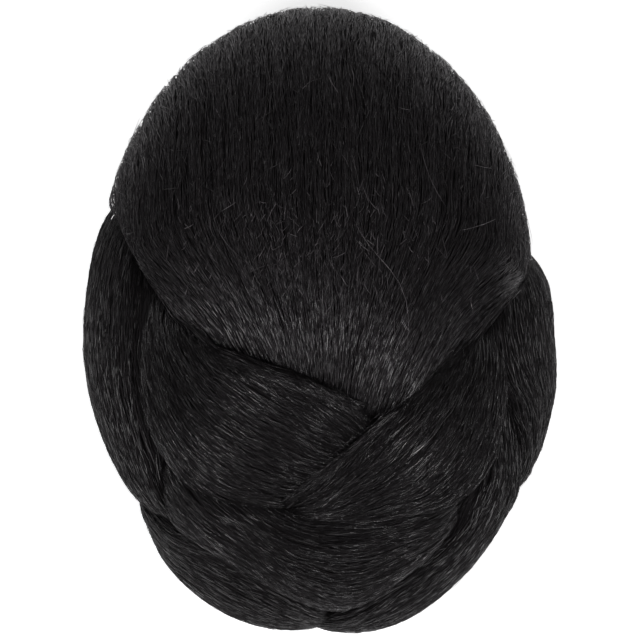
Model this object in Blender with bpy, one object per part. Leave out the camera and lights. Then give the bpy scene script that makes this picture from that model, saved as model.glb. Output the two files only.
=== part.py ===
"""Claw clip bun hairpiece: eight thick locks of hair laid over and under each other round a hollow back,
with a plain claw clip inside. Metres, +Z up. It lies on its open back with its front face up: +Z is its
front, +Y its top and +X its right as it is looked at. The origin is the middle of its footprint.

The hair is laid on a dome. A place on the dome is given by its tilt from the front middle, in degrees:
east, towards +X, and north, towards +Y. A height is measured outwards from the hollow.
"""
import math

import bmesh
import bpy
from mathutils import Vector

for item in list(bpy.data.objects):
    bpy.data.objects.remove(item)

# The hollow that the wearer's own bun goes into
HOLLOW_WIDTH = 0.092
HOLLOW_LENGTH = 0.136
HOLLOW_RISE = 0.032
HOLLOW_FALL = 0.050
WIDEST_LEVEL = 0.030

# The locks
HAIR_THICKNESS = 0.022
RIM_SHARE = 0.45
LOCK_EDGE_RADIUS = 0.0055
LOCK_UNDERCUT = 0.004
LOCK_GAP = 0.0003

# The most that an edge's radius is of its section's width and of its lowest height at the rim, and the
# most that the undercut is of the width
EDGE_WIDTH_SHARE = 0.3
EDGE_HEIGHT_SHARE = 1.4
UNDERCUT_WIDTH_SHARE = 0.2

# The tilts between which the hair thins towards the back rim
THINNING_STARTS = 88.0
THINNING_ENDS = 128.0

# The claw clip
CLIP_LENGTH = 0.074
CLIP_WIDTH = 0.040
CLIP_PLATE = 0.0022
CLIP_TIP_LEVEL = 0.004
CLIP_TIP_GAP = 0.007
CLIP_CLEARANCE = 0.0004
BARREL_RADIUS = 0.0040
BARREL_DEPTH = 0.013
LEVER_LENGTH = 0.044
LEVER_SPREAD = 0.015
LEVER_SEAT_SHARE = 0.3
TEETH = 7
TOOTH_SHARE = 0.55
TOOTH_TIP_SHARE = 0.4
TOOTH_STAGGER_SHARE = 0.25
JAW_FULLNESS = 0.8

# Meshing
SECTION_STEPS = 2
COLUMN_PITCH = 0.014
EDGE_ANGLES = (0, 32, 62, 90)
WIDTH_STEPS = 12
STRAIGHT_TURN = 0.01
BARREL_SIDES = 16
SHARP_ANGLE = 35
JAW_ROWS = 9
JAW_PLATE_ROWS = 3
LEVER_COLUMNS = 8
LEVER_ROWS = 4

# Each lock's sections. a and b are the section's two ends, and bow is how far its middle stands off the
# straight line between them, in degrees of tilt. The last three columns are the hair's height near a, in
# the middle and near b, as shares of HAIR_THICKNESS.
# (a_east, a_north, b_east, b_north, bow, near_a, middle, near_b)
LOCKS = {
    "crown_lock": (
        (-115, 66, 126, 41, 78, 0.95, 1.01, 0.95),
        (-100, 50, 109, 27, 73, 0.94, 1.00, 0.84),
        (-84, 32, 89, 14, 67, 0.90, 1.00, 0.72),
        (-72, 25, 75, 9, 56, 0.86, 0.95, 0.72),
        (-61, 16, 62, 4, 47, 0.84, 0.88, 0.74),
        (-50, 6, 54, -1, 40, 0.80, 0.84, 0.72),
        (-41, -2, 48, -7, 34, 0.64, 0.83, 0.60),
        (-28, -9, 43, -12, 29, 0.48, 0.82, 0.48),
        (-13, -14, 38, -17, 22, 0.44, 0.82, 0.44),
        (1, -20, 31, -23, 14, 0.42, 0.78, 0.42),
        (11, -26, 25, -29, 7, 0.38, 0.64, 0.38),
    ),
    "right_outer_lock": (
        (62, 14, 126, 44, 0, 0.44, 0.62, 0.60),
        (53, 1, 131, 24, 0, 0.66, 0.92, 0.90),
        (54, -12, 133, 2, 0, 0.80, 1.00, 0.98),
        (60, -20, 132, -18, 0, 0.90, 1.10, 1.08),
        (66, -30, 127, -40, 0, 0.98, 1.12, 1.11),
        (72, -43, 119, -60, 0, 1.00, 1.13, 1.11),
        (77, -58, 106, -80, 0, 0.92, 1.04, 1.02),
    ),
    "right_crossing_lock": (
        (50, 8, 64, 4, 0, 0.30, 0.36, 0.30),
        (42, -5.5, 61, -11, 0, 0.66, 0.78, 0.70),
        (33, -11, 58, -25, 0, 0.78, 0.90, 0.84),
        (24, -15.5, 52, -35, 0, 0.84, 0.98, 0.90),
        (14, -21.5, 41, -40.5, 0, 0.88, 1.00, 0.92),
        (4, -28, 26, -41.5, 0, 0.86, 0.97, 0.88),
        (-5, -34, 10, -42, 0, 0.78, 0.90, 0.80),
        (-14, -40, -8, -43, 0, 0.50, 0.62, 0.50),
    ),
    "lower_right_lock": (
        (52, 3, 66, -2, 0, 0.30, 0.34, 0.30),
        (54, -13, 74, -17, 0, 0.60, 0.66, 0.60),
        (54, -26, 84, -37, 0, 0.78, 0.86, 0.80),
        (52, -34, 97, -60, 0, 0.86, 1.00, 0.98),
        (48, -41, 103, -84, 0, 0.88, 1.06, 1.06),
        (42, -49, 84, -103, 0, 0.90, 1.10, 1.10),
        (32, -55, 60, -119, 0, 0.90, 1.12, 1.12),
        (20, -63, 36, -128, 0, 0.90, 1.15, 1.18),
        (6, -76, 12, -133, 0, 0.90, 1.10, 1.14),
        (-9, -91, -12, -133, 0, 0.84, 1.00, 1.04),
    ),
    "lower_left_lock": (
        (-86, -42, -112, -70, 0, 0.60, 0.70, 0.70),
        (-70, -52, -106, -80, 0, 0.84, 0.98, 1.00),
        (-52, -53, -92, -96, 0, 0.86, 1.10, 1.10),
        (-33, -51, -74, -111, 0, 0.90, 1.12, 1.14),
        (-18, -55, -52, -123, 0, 0.90, 1.10, 1.12),
        (-5, -65, -30, -130, 0, 0.88, 1.04, 1.08),
        (5, -77, -10, -133, 0, 0.82, 0.98, 1.02),
        (14, -88, 8, -133, 0, 0.60, 0.74, 0.80),
    ),
    "left_outer_lock": (
        (-62, 26, -108, 78, 0, 0.50, 0.70, 0.66),
        (-58, 12, -124, 48, 0, 0.70, 0.94, 0.92),
        (-57, -1, -132, 18, 0, 0.80, 1.00, 1.00),
        (-56, -14, -132, -12, 0, 0.86, 1.04, 1.03),
        (-52, -28, -127, -40, 0, 0.86, 1.00, 1.00),
        (-49, -42, -116, -64, 0, 0.82, 0.92, 0.92),
        (-46, -56, -100, -86, 0, 0.62, 0.70, 0.70),
    ),
    "lower_middle_lock": (
        (-62, -24, -64, -47, 0, 0.40, 0.44, 0.40),
        (-50, -31, -53, -57, 0, 0.66, 0.78, 0.66),
        (-36, -35, -38, -58, 0, 0.80, 0.92, 0.72),
        (-20, -38, -21, -63, 0, 0.82, 0.98, 0.72),
        (-5, -39.5, -8, -74, 0, 0.76, 0.98, 0.66),
        (9, -36, 8, -82, 0, 0.64, 0.98, 0.62),
        (23, -34, 24, -70, 0, 0.60, 0.96, 0.66),
        (37, -32, 38, -60, 0, 0.58, 0.88, 0.66),
        (49, -32, 51, -51, 0, 0.50, 0.66, 0.56),
        (58, -30, 60, -38, 0, 0.34, 0.38, 0.34),
    ),
    "left_crossing_lock": (
        (-56, 20, -70, 14, 0, 0.30, 0.34, 0.30),
        (-48, 5, -66, -6, 0, 0.54, 0.60, 0.50),
        (-38, -1, -60, -22, 0, 0.76, 0.80, 0.66),
        (-26, -6, -48, -35, 0, 0.84, 0.92, 0.72),
        (-12, -9, -34, -41, 0, 0.86, 0.95, 0.72),
        (2, -12, -16, -43, 0, 0.84, 0.88, 0.62),
        (16, -18, 0, -42, 0, 0.66, 0.68, 0.46),
        (26, -25, 12, -39, 0, 0.36, 0.38, 0.30),
    ),
}

# The locks that lie over each lock
OVER = {
    "right_outer_lock": ("crown_lock",),
    "right_crossing_lock": ("crown_lock", "right_outer_lock"),
    "lower_right_lock": ("crown_lock", "right_outer_lock", "right_crossing_lock"),
    "lower_left_lock": ("lower_right_lock",),
    "left_outer_lock": ("crown_lock", "lower_left_lock"),
    "lower_middle_lock": ("right_crossing_lock", "lower_right_lock", "lower_left_lock", "left_outer_lock"),
    "left_crossing_lock": ("crown_lock", "right_crossing_lock", "left_outer_lock", "lower_middle_lock"),
}


def material(name, colour, roughness):
    """A plain Principled material."""
    made = bpy.data.materials.new(name)
    made.use_nodes = True
    shader = made.node_tree.nodes["Principled BSDF"]
    shader.inputs["Base Color"].default_value = (*colour, 1)
    shader.inputs["Roughness"].default_value = roughness
    shader.inputs["Metallic"].default_value = 0
    return made


def add_object(name, mesh):
    """A new object of this mesh, linked to the scene."""
    made = bpy.data.objects.new(name, mesh)
    bpy.context.collection.objects.link(made)
    return made


def dome_point(east, north, height):
    """The point at a tilt from the front middle, and at a height out of the hollow."""
    tilt = math.radians(math.hypot(east, north))
    bearing = math.atan2(north, east)
    depth = HOLLOW_RISE if math.cos(tilt) > 0 else HOLLOW_FALL
    across = (HOLLOW_WIDTH / 2 + height) * math.sin(tilt) * math.cos(bearing)
    along = (HOLLOW_LENGTH / 2 + height) * math.sin(tilt) * math.sin(bearing)
    return Vector((across, along, WIDEST_LEVEL + (depth + height) * math.cos(tilt)))


def thinning(east, north):
    """The share of its height that the hair keeps as it turns in towards the back rim."""
    tilt = math.hypot(east, north)
    turned = min(max((tilt - THINNING_STARTS) / (THINNING_ENDS - THINNING_STARTS), 0), 1)
    return 1 - (1 - RIM_SHARE) * (1 - math.cos(math.pi * turned)) / 2


def smooth_rows(rows, steps):
    """The rows with steps sections between each two, on smooth curves through them."""
    last = len(rows) - 1
    fine = []
    for index in range(last):
        before = rows[max(index - 1, 0)]
        after = rows[min(index + 2, last)]
        for step in range(steps):
            share = step / steps
            fine.append([
                0.5 * (2 * q + (r - p) * share + (2 * p - 5 * q + 4 * r - s) * share ** 2
                       + (3 * q - p - 3 * r + s) * share ** 3)
                for p, q, r, s in zip(before, rows[index], rows[index + 1], after)
            ])
    fine.append(list(rows[last]))
    return fine


def place_along(row, share):
    """The tilts at a share of the way along a section, which is straight or an arc."""
    a_east, a_north, b_east, b_north, bow = row[:5]
    reach = math.hypot(b_east - a_east, b_north - a_north)
    east = (b_east - a_east) / reach
    north = (b_north - a_north) / reach
    turn = 2 * math.atan2(2 * bow, reach)
    if turn < STRAIGHT_TURN:
        ahead = reach * (share - 0.5)
        aside = bow
    else:
        radius = reach / 2 / math.sin(turn)
        ahead = radius * math.sin(turn * (2 * share - 1))
        aside = radius * math.cos(turn * (2 * share - 1)) - radius + bow
    return ((a_east + b_east) / 2 + east * ahead - north * aside,
            (a_north + b_north) / 2 + north * ahead + east * aside)


def section_width(row):
    """The length of a section along the outside of the hair."""
    path = [dome_point(*place_along(row, step / WIDTH_STEPS), HAIR_THICKNESS) for step in range(WIDTH_STEPS + 1)]
    return sum((after - before).length for before, after in zip(path, path[1:]))


def section(row, flat_columns):
    """One section's points: its crowned outer side with rounded edges, and its inner side."""
    near_a, middle, near_b = row[5:]
    width = section_width(row)
    lowest = min(near_a, near_b) * HAIR_THICKNESS * RIM_SHARE
    radius = min(LOCK_EDGE_RADIUS, width * EDGE_WIDTH_SHARE, lowest * EDGE_HEIGHT_SHARE)
    undercut = min(LOCK_UNDERCUT / width, UNDERCUT_WIDTH_SHARE)
    edge = [(radius / width * (1 - math.cos(math.radians(angle))), radius * (1 - math.sin(math.radians(angle))))
            for angle in EDGE_ANGLES]
    inside = [(radius / width + (1 - 2 * radius / width) * step / flat_columns, 0)
              for step in range(1, flat_columns)]
    outer = []
    inner = []
    for share, drop in edge + inside + [(1 - share, drop) for share, drop in reversed(edge)]:
        east, north = place_along(row, share)
        crowned = (near_a * (1 - share) * (1 - 2 * share) + middle * 4 * share * (1 - share)
                   + near_b * share * (2 * share - 1))
        outer.append(dome_point(east, north, HAIR_THICKNESS * crowned * thinning(east, north) - drop))
        inner.append(dome_point(*place_along(row, undercut + (1 - 2 * undercut) * share), 0))
    return outer, inner


def lock_mesh(name):
    """The full body of a lock, before the locks over it are cut from it."""
    shape = bmesh.new()
    rings = []
    rows = smooth_rows(LOCKS[name], SECTION_STEPS)
    flat_columns = max(round(section_width(row) / COLUMN_PITCH) for row in rows)
    for row in rows:
        outer, inner = section(row, flat_columns)
        rings.append([shape.verts.new(point) for point in outer + inner[::-1]])
    count = len(rings[0])
    half = count // 2
    for first, second in zip(rings, rings[1:]):
        for index in range(count):
            after = (index + 1) % count
            shape.faces.new((first[index], first[after], second[after], second[index]))
    for ring in (rings[0], rings[-1]):
        for index in range(half - 1):
            shape.faces.new((ring[index], ring[index + 1], ring[count - 2 - index], ring[count - 1 - index]))
    bmesh.ops.recalc_face_normals(shape, faces=shape.faces)
    return shape


def cut_flat(shape):
    """Cuts off what lies below the back rim, and closes the cut."""
    everything = shape.verts[:] + shape.edges[:] + shape.faces[:]
    cut = bmesh.ops.bisect_plane(shape, geom=everything, plane_co=(0, 0, 0), plane_no=(0, 0, 1), clear_inner=True)
    edges = [part for part in cut["geom_cut"] if isinstance(part, bmesh.types.BMEdge)]
    if edges:
        bmesh.ops.edgeloop_fill(shape, edges=edges)
        bmesh.ops.recalc_face_normals(shape, faces=shape.faces)


def grown_mesh(shape, name):
    """A mesh of the shape with each face moved out by the gap between locks."""
    grown = shape.copy()
    grown.normal_update()
    moves = [(vert, vert.normal * LOCK_GAP * vert.calc_shell_factor()) for vert in grown.verts]
    for vert, move in moves:
        vert.co += move
    bmesh.ops.triangulate(grown, faces=grown.faces)
    mesh = bpy.data.meshes.new(name)
    grown.to_mesh(mesh)
    grown.free()
    return mesh


def boolean(target, tool, operation):
    """Joins the tool to the target or cuts it from it, and keeps the tool out of the model."""
    change = target.modifiers.new(tool.name, "BOOLEAN")
    change.operation = operation
    change.solver = "EXACT"
    change.object = tool
    tool.hide_render = True
    tool.display_type = "WIRE"


def add_locks(hair):
    """The eight locks, each cut by the locks that lie over it."""
    cutters = {}
    used = {name for over in OVER.values() for name in over}
    for name in LOCKS:
        shape = lock_mesh(name)
        if name in used:
            cutters[name] = add_object(name + "_room", grown_mesh(shape, name + "_room"))
        cut_flat(shape)
        bmesh.ops.triangulate(shape, faces=shape.faces)
        mesh = bpy.data.meshes.new(name)
        shape.to_mesh(mesh)
        shape.free()
        mesh.materials.append(hair)
        mesh.shade_smooth()
        lock = add_object(name, mesh)
        for over in OVER.get(name, ()):
            boolean(lock, cutters[over], "DIFFERENCE")


def hollow_ceiling(across, along):
    """The level of the hollow's front wall over a place."""
    share = (across / (HOLLOW_WIDTH / 2)) ** 2 + (along / (HOLLOW_LENGTH / 2)) ** 2
    return WIDEST_LEVEL + HOLLOW_RISE * math.sqrt(1 - share)


def plate_object(name, columns, rows, place, kept):
    """A bent plate: a net of columns and rows, without the faces that kept refuses, given its thickness."""
    shape = bmesh.new()
    net = [[shape.verts.new(place(column, row)) for row in range(rows + 1)] for column in range(columns + 1)]
    for column in range(columns):
        for row in range(rows):
            if kept(column, row):
                shape.faces.new((net[column][row], net[column + 1][row],
                                 net[column + 1][row + 1], net[column][row + 1]))
    loose = [vert for vert in shape.verts if not vert.link_faces]
    bmesh.ops.delete(shape, geom=loose, context="VERTS")
    mesh = bpy.data.meshes.new(name)
    shape.to_mesh(mesh)
    shape.free()
    plate = add_object(name, mesh)
    wall = plate.modifiers.new("thickness", "SOLIDIFY")
    wall.thickness = CLIP_PLATE
    wall.offset = 0
    wall.use_even_offset = True
    return plate


# The claw clip's levels
BARREL_LEVEL = WIDEST_LEVEL + HOLLOW_RISE - BARREL_DEPTH


def jaw_object(name, side):
    """One curved jaw: a plate from the barrel that ends in tapered teeth."""
    pitch = CLIP_LENGTH / TEETH
    shift = pitch * TOOTH_STAGGER_SHARE * side

    def place(column, row):
        turn = math.pi * row / JAW_ROWS
        drop = (1 - math.cos(turn)) / 2
        tip = CLIP_TIP_GAP / 2 * drop
        across = side * (CLIP_WIDTH / 2 * math.sin(turn) ** JAW_FULLNESS + tip)
        level = BARREL_LEVEL - (BARREL_LEVEL - CLIP_TIP_LEVEL) * drop
        tooth, edge = divmod(column, 2)
        taper = max(row - JAW_PLATE_ROWS, 0) / (JAW_ROWS - JAW_PLATE_ROWS)
        half = pitch / 2 * TOOTH_SHARE * (1 - (1 - TOOTH_TIP_SHARE) * taper)
        middle = (tooth + 0.5 - TEETH / 2) * pitch + shift
        return across, middle + (half if edge else -half), level

    def kept(column, row):
        return row < JAW_PLATE_ROWS or column % 2 == 0

    return plate_object(name, 2 * TEETH - 1, JAW_ROWS, place, kept)


def lever_object(name, side):
    """One finger lever: a plate that spreads from the barrel up to the hollow's front wall."""

    def place(column, row):
        along = LEVER_LENGTH * (column / LEVER_COLUMNS - 0.5)
        across = side * LEVER_SPREAD * row / LEVER_ROWS
        seat = CLIP_CLEARANCE + CLIP_PLATE * LEVER_SEAT_SHARE
        top = hollow_ceiling(side * (LEVER_SPREAD + CLIP_PLATE), along) - seat
        return across, along, BARREL_LEVEL + (top - BARREL_LEVEL) * row / LEVER_ROWS

    return plate_object(name, LEVER_COLUMNS, LEVER_ROWS, place, lambda column, row: True)


def add_claw_clip(plastic):
    """The clip: a barrel that two toothed jaws and two levers are joined to, as one solid."""
    shape = bmesh.new()
    bmesh.ops.create_cone(shape, cap_ends=True, segments=BARREL_SIDES, radius1=BARREL_RADIUS,
                          radius2=BARREL_RADIUS, depth=CLIP_LENGTH)
    mesh = bpy.data.meshes.new("claw_clip")
    shape.to_mesh(mesh)
    shape.free()
    mesh.materials.append(plastic)
    mesh.shade_smooth()
    mesh.set_sharp_from_angle(angle=math.radians(SHARP_ANGLE))
    clip = add_object("claw_clip", mesh)
    clip.location = (0, 0, BARREL_LEVEL)
    clip.rotation_euler = (math.pi / 2, 0, 0)
    for side, word in ((-1, "left"), (1, "right")):
        boolean(clip, jaw_object(word + "_jaw_form", side), "UNION")
        boolean(clip, lever_object(word + "_lever_form", side), "UNION")


add_locks(material("black_hair", (0.010, 0.009, 0.009), 0.45))
add_claw_clip(material("black_plastic", (0.012, 0.012, 0.012), 0.32))
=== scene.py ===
"""Looks of the claw clip bun hairpiece: strands of black hair combed over the eight packed locks, stray
hairs, the hidden clip, and a pale floor with soft light. It repeats the lock tables of the part's source.
"""
import math

import bpy
import numpy as np
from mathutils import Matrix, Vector
from mathutils.bvhtree import BVHTree


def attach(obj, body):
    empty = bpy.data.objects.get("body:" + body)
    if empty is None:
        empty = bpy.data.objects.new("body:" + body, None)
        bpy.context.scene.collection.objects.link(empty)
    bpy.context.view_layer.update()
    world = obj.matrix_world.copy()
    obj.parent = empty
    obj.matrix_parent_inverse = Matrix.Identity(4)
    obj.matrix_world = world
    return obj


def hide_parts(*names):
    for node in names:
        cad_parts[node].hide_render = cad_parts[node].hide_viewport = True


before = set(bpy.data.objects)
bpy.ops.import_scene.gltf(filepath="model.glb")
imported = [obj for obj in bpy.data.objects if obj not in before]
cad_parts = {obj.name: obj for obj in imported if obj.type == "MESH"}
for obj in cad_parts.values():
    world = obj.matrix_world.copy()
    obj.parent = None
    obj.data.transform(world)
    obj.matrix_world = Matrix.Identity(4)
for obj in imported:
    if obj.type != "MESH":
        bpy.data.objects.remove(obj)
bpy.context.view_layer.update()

# The dome that the hair is laid on, as in the part's source
HOLLOW_WIDTH = 0.092
HOLLOW_LENGTH = 0.136
HOLLOW_RISE = 0.032
HOLLOW_FALL = 0.050
WIDEST_LEVEL = 0.030
HAIR_THICKNESS = 0.022
RIM_SHARE = 0.45
LOCK_EDGE_RADIUS = 0.0055
WIDTH_OF_DEGREE = 0.0013
MEAN_RADIUS = 0.075
FLATTEST_TURN = 0.002
WIDEST_EDGE_SHARE = 0.3
NARROW = 0.006
THINNING_STARTS = 88.0
THINNING_ENDS = 128.0

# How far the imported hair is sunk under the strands, less at the lock's sides, how far it is swollen in the
# gaps between the locks, the level of its foot, and the size of its voxels
MASS_SUNK = 0.0009
MASS_SIDE_RELIEF = 0.5
MASS_SWOLLEN = 0.0008
MASS_FOOT = 0.0002
MASS_VOXEL = 0.0021
MASS_SMOOTHING = {"factor": 0.5, "iterations": 5}
MASS_WELD = 0.00001
FACING_GAIN = 2
FACING_OFFSET = 0.6
SIDE_FACING = 0.5

# How near to a packed lock a strand stays, and how far above the back rim
COVER_REACH = 0.0014
RIM_CLEARANCE = 0.0004

# The layers of strands on each lock, in metres, from the lowest to the uppermost. Coverage is the strands'
# own area as a share of the lock's, lean is how far they stray from the comb lines as a slope, and sunk is
# how far the layer lies below the lock's surface.
# (points, pitch, width, coverage, lean, short_wave, long_wave, rise_wave, side_wave, sunk)
LAYERS = {
    "under": (9, 0.0060, 0.00044, 1.30, 0.05, 0.022, 0.060, 0.00010, 0.00030, 0.00035),
    "middle": (8, 0.0043, 0.00026, 0.90, 0.08, 0.010, 0.024, 0.00010, 0.00014, 0.00022),
    "over": (7, 0.0026, 0.00017, 0.72, 0.13, 0.007, 0.014, 0.00011, 0.00009, 0.00000),
}
STRAND_DEPTH_SHARE = 0.55
FEWEST_POINTS = 3
TIP_WIDTH_SHARE = 0.2
TIP_WIDENING = 0.5
WIDTH_RANGE = (0.7, 1.25)
TONE_SHAPE = (1.3, 3.0)
WAVE_SHAPE = (3.0, 1 / 3)
SECOND_WAVE_SHARE = 0.4
SECOND_WAVE_RATE = 1.7
DEPTH_SPREAD = 0.00009
SEEDS_A_LOCK = 100

# The looks of the hair: its blacks, and the kinks and glints along a strand. The glints are at their least
# over the crown's top and grow towards the bun's bottom.
HAIR_TINT = (1.0, 0.91, 0.98, 1.0)
DARKEST_BLACK = (0.0016, 0.0014, 0.0015)
MIDDLE_BLACK = (0.0034, 0.0029, 0.0030)
PALEST_BLACK = (0.0100, 0.0082, 0.0078)
# The loose hairs' black is painted much paler than the rest of the hair, a painted highlight for the light
# that they catch
LOOSE_PAINTED_HIGHLIGHT_BLACK = (0.070, 0.062, 0.066)
COAT_IOR = 2.8
KINK_RATE = 290.0
KINK_TONE_RATE = 900.0
KINK_RELIEF = 0.0010
DASH_RATE = 290.0
DASH_TONE_RATE = 1700.0
DASH_THRESHOLD = 0.53
DASH_CONTRAST = 10.0
GLINT_BY_TONE = 0.8
GLINT_LEAST = 0.3
LOWER_FROM = 0.030
LOWER_GAIN = 35.0
LOWER_LEAST = 0.5
MASS_BLACKS = ((0.25, (0.0012, 0.0011, 0.0011)), (0.75, (0.0034, 0.0030, 0.0030)))
MASS_GRAIN = (2400.0, 160.0, 900.0)
MASS_ROUGHNESS = (0.50, 0.2)
MASS_RELIEF = {"Strength": 0.8, "Distance": 0.0004}

# The shallow clumps and finer locklets of each lock: their relief, the size of their tables of random
# numbers, and how many there are across and along a lock. On the crown a clump is so many degrees long.
CLUMP_RELIEF = 0.00025
CLUMP_TABLE = (37, 7)
CLUMPS_ACROSS = 26
CLUMPS_ALONG = 3
CROWN_CLUMPS = 17
CROWN_CLUMP_TURN = 40
LOCKLET_RELIEF = 0.00015
LOCKLET_TABLE = (91, 11)
LOCKLETS_ACROSS = 3.1
LOCKLETS_ALONG = 1.7

# Each lock's sections, as in the part's source:
# (a_east, a_north, b_east, b_north, bow, near_a, middle, near_b)
LOCKS = {
    "crown_lock": (
        (-115, 66, 126, 41, 78, 0.95, 1.01, 0.95),
        (-100, 50, 109, 27, 73, 0.94, 1.00, 0.84),
        (-84, 32, 89, 14, 67, 0.90, 1.00, 0.72),
        (-72, 25, 75, 9, 56, 0.86, 0.95, 0.72),
        (-61, 16, 62, 4, 47, 0.84, 0.88, 0.74),
        (-50, 6, 54, -1, 40, 0.80, 0.84, 0.72),
        (-41, -2, 48, -7, 34, 0.64, 0.83, 0.60),
        (-28, -9, 43, -12, 29, 0.48, 0.82, 0.48),
        (-13, -14, 38, -17, 22, 0.44, 0.82, 0.44),
        (1, -20, 31, -23, 14, 0.42, 0.78, 0.42),
        (11, -26, 25, -29, 7, 0.38, 0.64, 0.38),
    ),
    "right_outer_lock": (
        (62, 14, 126, 44, 0, 0.44, 0.62, 0.60),
        (53, 1, 131, 24, 0, 0.66, 0.92, 0.90),
        (54, -12, 133, 2, 0, 0.80, 1.00, 0.98),
        (60, -20, 132, -18, 0, 0.90, 1.10, 1.08),
        (66, -30, 127, -40, 0, 0.98, 1.12, 1.11),
        (72, -43, 119, -60, 0, 1.00, 1.13, 1.11),
        (77, -58, 106, -80, 0, 0.92, 1.04, 1.02),
    ),
    "right_crossing_lock": (
        (50, 8, 64, 4, 0, 0.30, 0.36, 0.30),
        (42, -5.5, 61, -11, 0, 0.66, 0.78, 0.70),
        (33, -11, 58, -25, 0, 0.78, 0.90, 0.84),
        (24, -15.5, 52, -35, 0, 0.84, 0.98, 0.90),
        (14, -21.5, 41, -40.5, 0, 0.88, 1.00, 0.92),
        (4, -28, 26, -41.5, 0, 0.86, 0.97, 0.88),
        (-5, -34, 10, -42, 0, 0.78, 0.90, 0.80),
        (-14, -40, -8, -43, 0, 0.50, 0.62, 0.50),
    ),
    "lower_right_lock": (
        (52, 3, 66, -2, 0, 0.30, 0.34, 0.30),
        (54, -13, 74, -17, 0, 0.60, 0.66, 0.60),
        (54, -26, 84, -37, 0, 0.78, 0.86, 0.80),
        (52, -34, 97, -60, 0, 0.86, 1.00, 0.98),
        (48, -41, 103, -84, 0, 0.88, 1.06, 1.06),
        (42, -49, 84, -103, 0, 0.90, 1.10, 1.10),
        (32, -55, 60, -119, 0, 0.90, 1.12, 1.12),
        (20, -63, 36, -128, 0, 0.90, 1.15, 1.18),
        (6, -76, 12, -133, 0, 0.90, 1.10, 1.14),
        (-9, -91, -12, -133, 0, 0.84, 1.00, 1.04),
    ),
    "lower_left_lock": (
        (-86, -42, -112, -70, 0, 0.60, 0.70, 0.70),
        (-70, -52, -106, -80, 0, 0.84, 0.98, 1.00),
        (-52, -53, -92, -96, 0, 0.86, 1.10, 1.10),
        (-33, -51, -74, -111, 0, 0.90, 1.12, 1.14),
        (-18, -55, -52, -123, 0, 0.90, 1.10, 1.12),
        (-5, -65, -30, -130, 0, 0.88, 1.04, 1.08),
        (5, -77, -10, -133, 0, 0.82, 0.98, 1.02),
        (14, -88, 8, -133, 0, 0.60, 0.74, 0.80),
    ),
    "left_outer_lock": (
        (-62, 26, -108, 78, 0, 0.50, 0.70, 0.66),
        (-58, 12, -124, 48, 0, 0.70, 0.94, 0.92),
        (-57, -1, -132, 18, 0, 0.80, 1.00, 1.00),
        (-56, -14, -132, -12, 0, 0.86, 1.04, 1.03),
        (-52, -28, -127, -40, 0, 0.86, 1.00, 1.00),
        (-49, -42, -116, -64, 0, 0.82, 0.92, 0.92),
        (-46, -56, -100, -86, 0, 0.62, 0.70, 0.70),
    ),
    "lower_middle_lock": (
        (-62, -24, -64, -47, 0, 0.40, 0.44, 0.40),
        (-50, -31, -53, -57, 0, 0.66, 0.78, 0.66),
        (-36, -35, -38, -58, 0, 0.80, 0.92, 0.72),
        (-20, -38, -21, -63, 0, 0.82, 0.98, 0.72),
        (-5, -39.5, -8, -74, 0, 0.76, 0.98, 0.66),
        (9, -36, 8, -82, 0, 0.64, 0.98, 0.62),
        (23, -34, 24, -70, 0, 0.60, 0.96, 0.66),
        (37, -32, 38, -60, 0, 0.58, 0.88, 0.66),
        (49, -32, 51, -51, 0, 0.50, 0.66, 0.56),
        (58, -30, 60, -38, 0, 0.34, 0.38, 0.34),
    ),
    "left_crossing_lock": (
        (-56, 20, -70, 14, 0, 0.30, 0.34, 0.30),
        (-48, 5, -66, -6, 0, 0.54, 0.60, 0.50),
        (-38, -1, -60, -22, 0, 0.76, 0.80, 0.66),
        (-26, -6, -48, -35, 0, 0.84, 0.92, 0.72),
        (-12, -9, -34, -41, 0, 0.86, 0.95, 0.72),
        (2, -12, -16, -43, 0, 0.84, 0.88, 0.62),
        (16, -18, 0, -42, 0, 0.66, 0.68, 0.46),
        (26, -25, 12, -39, 0, 0.36, 0.38, 0.30),
    ),
}

# Loose hairs on the crown, placed on the picture plane in metres: groups of short ones, and long ones by
# points
# (count, middle_x, middle_y, spread_x, spread_y, shortest, longest, lift)
LOOSE_HAIRS = (
    (330, -0.004, 0.023, 0.018, 0.010, 0.0010, 0.0032, 0.0008),
    (70, 0.004, 0.026, 0.015, 0.012, 0.0025, 0.0060, 0.0010),
    (50, 0.010, 0.030, 0.030, 0.025, 0.0030, 0.0070, 0.0010),
)
LONG_LOOSE_HAIRS = (
    ((0.0085, 0.0300), (0.0155, 0.0180), (0.0225, 0.0085), (0.0240, -0.0085)),
    ((0.0390, 0.0250), (0.0440, 0.0262), (0.0495, 0.0285)),
    ((-0.0300, 0.0330), (-0.0275, 0.0240), (-0.0215, 0.0170)),
    ((0.0280, 0.0500), (0.0300, 0.0400), (0.0355, 0.0310)),
)
LOOSE_SEED = 911
LOOSE_POINTS = 9
LOOSE_TURN = 0.42
LOOSE_CURL = 0.16
LOOSE_LIFT_RANGE = (0.2, 1)
LIFT_POWER = 1.5
LONG_LIFT = 0.0008
LONG_FOOT_LIFT = 0.0002
LOOSE_WIDTHS = (0.00012, 0.00019)
LOOSE_TONES = (0.35, 1.0)
DROP_LEVEL = 0.2

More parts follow.
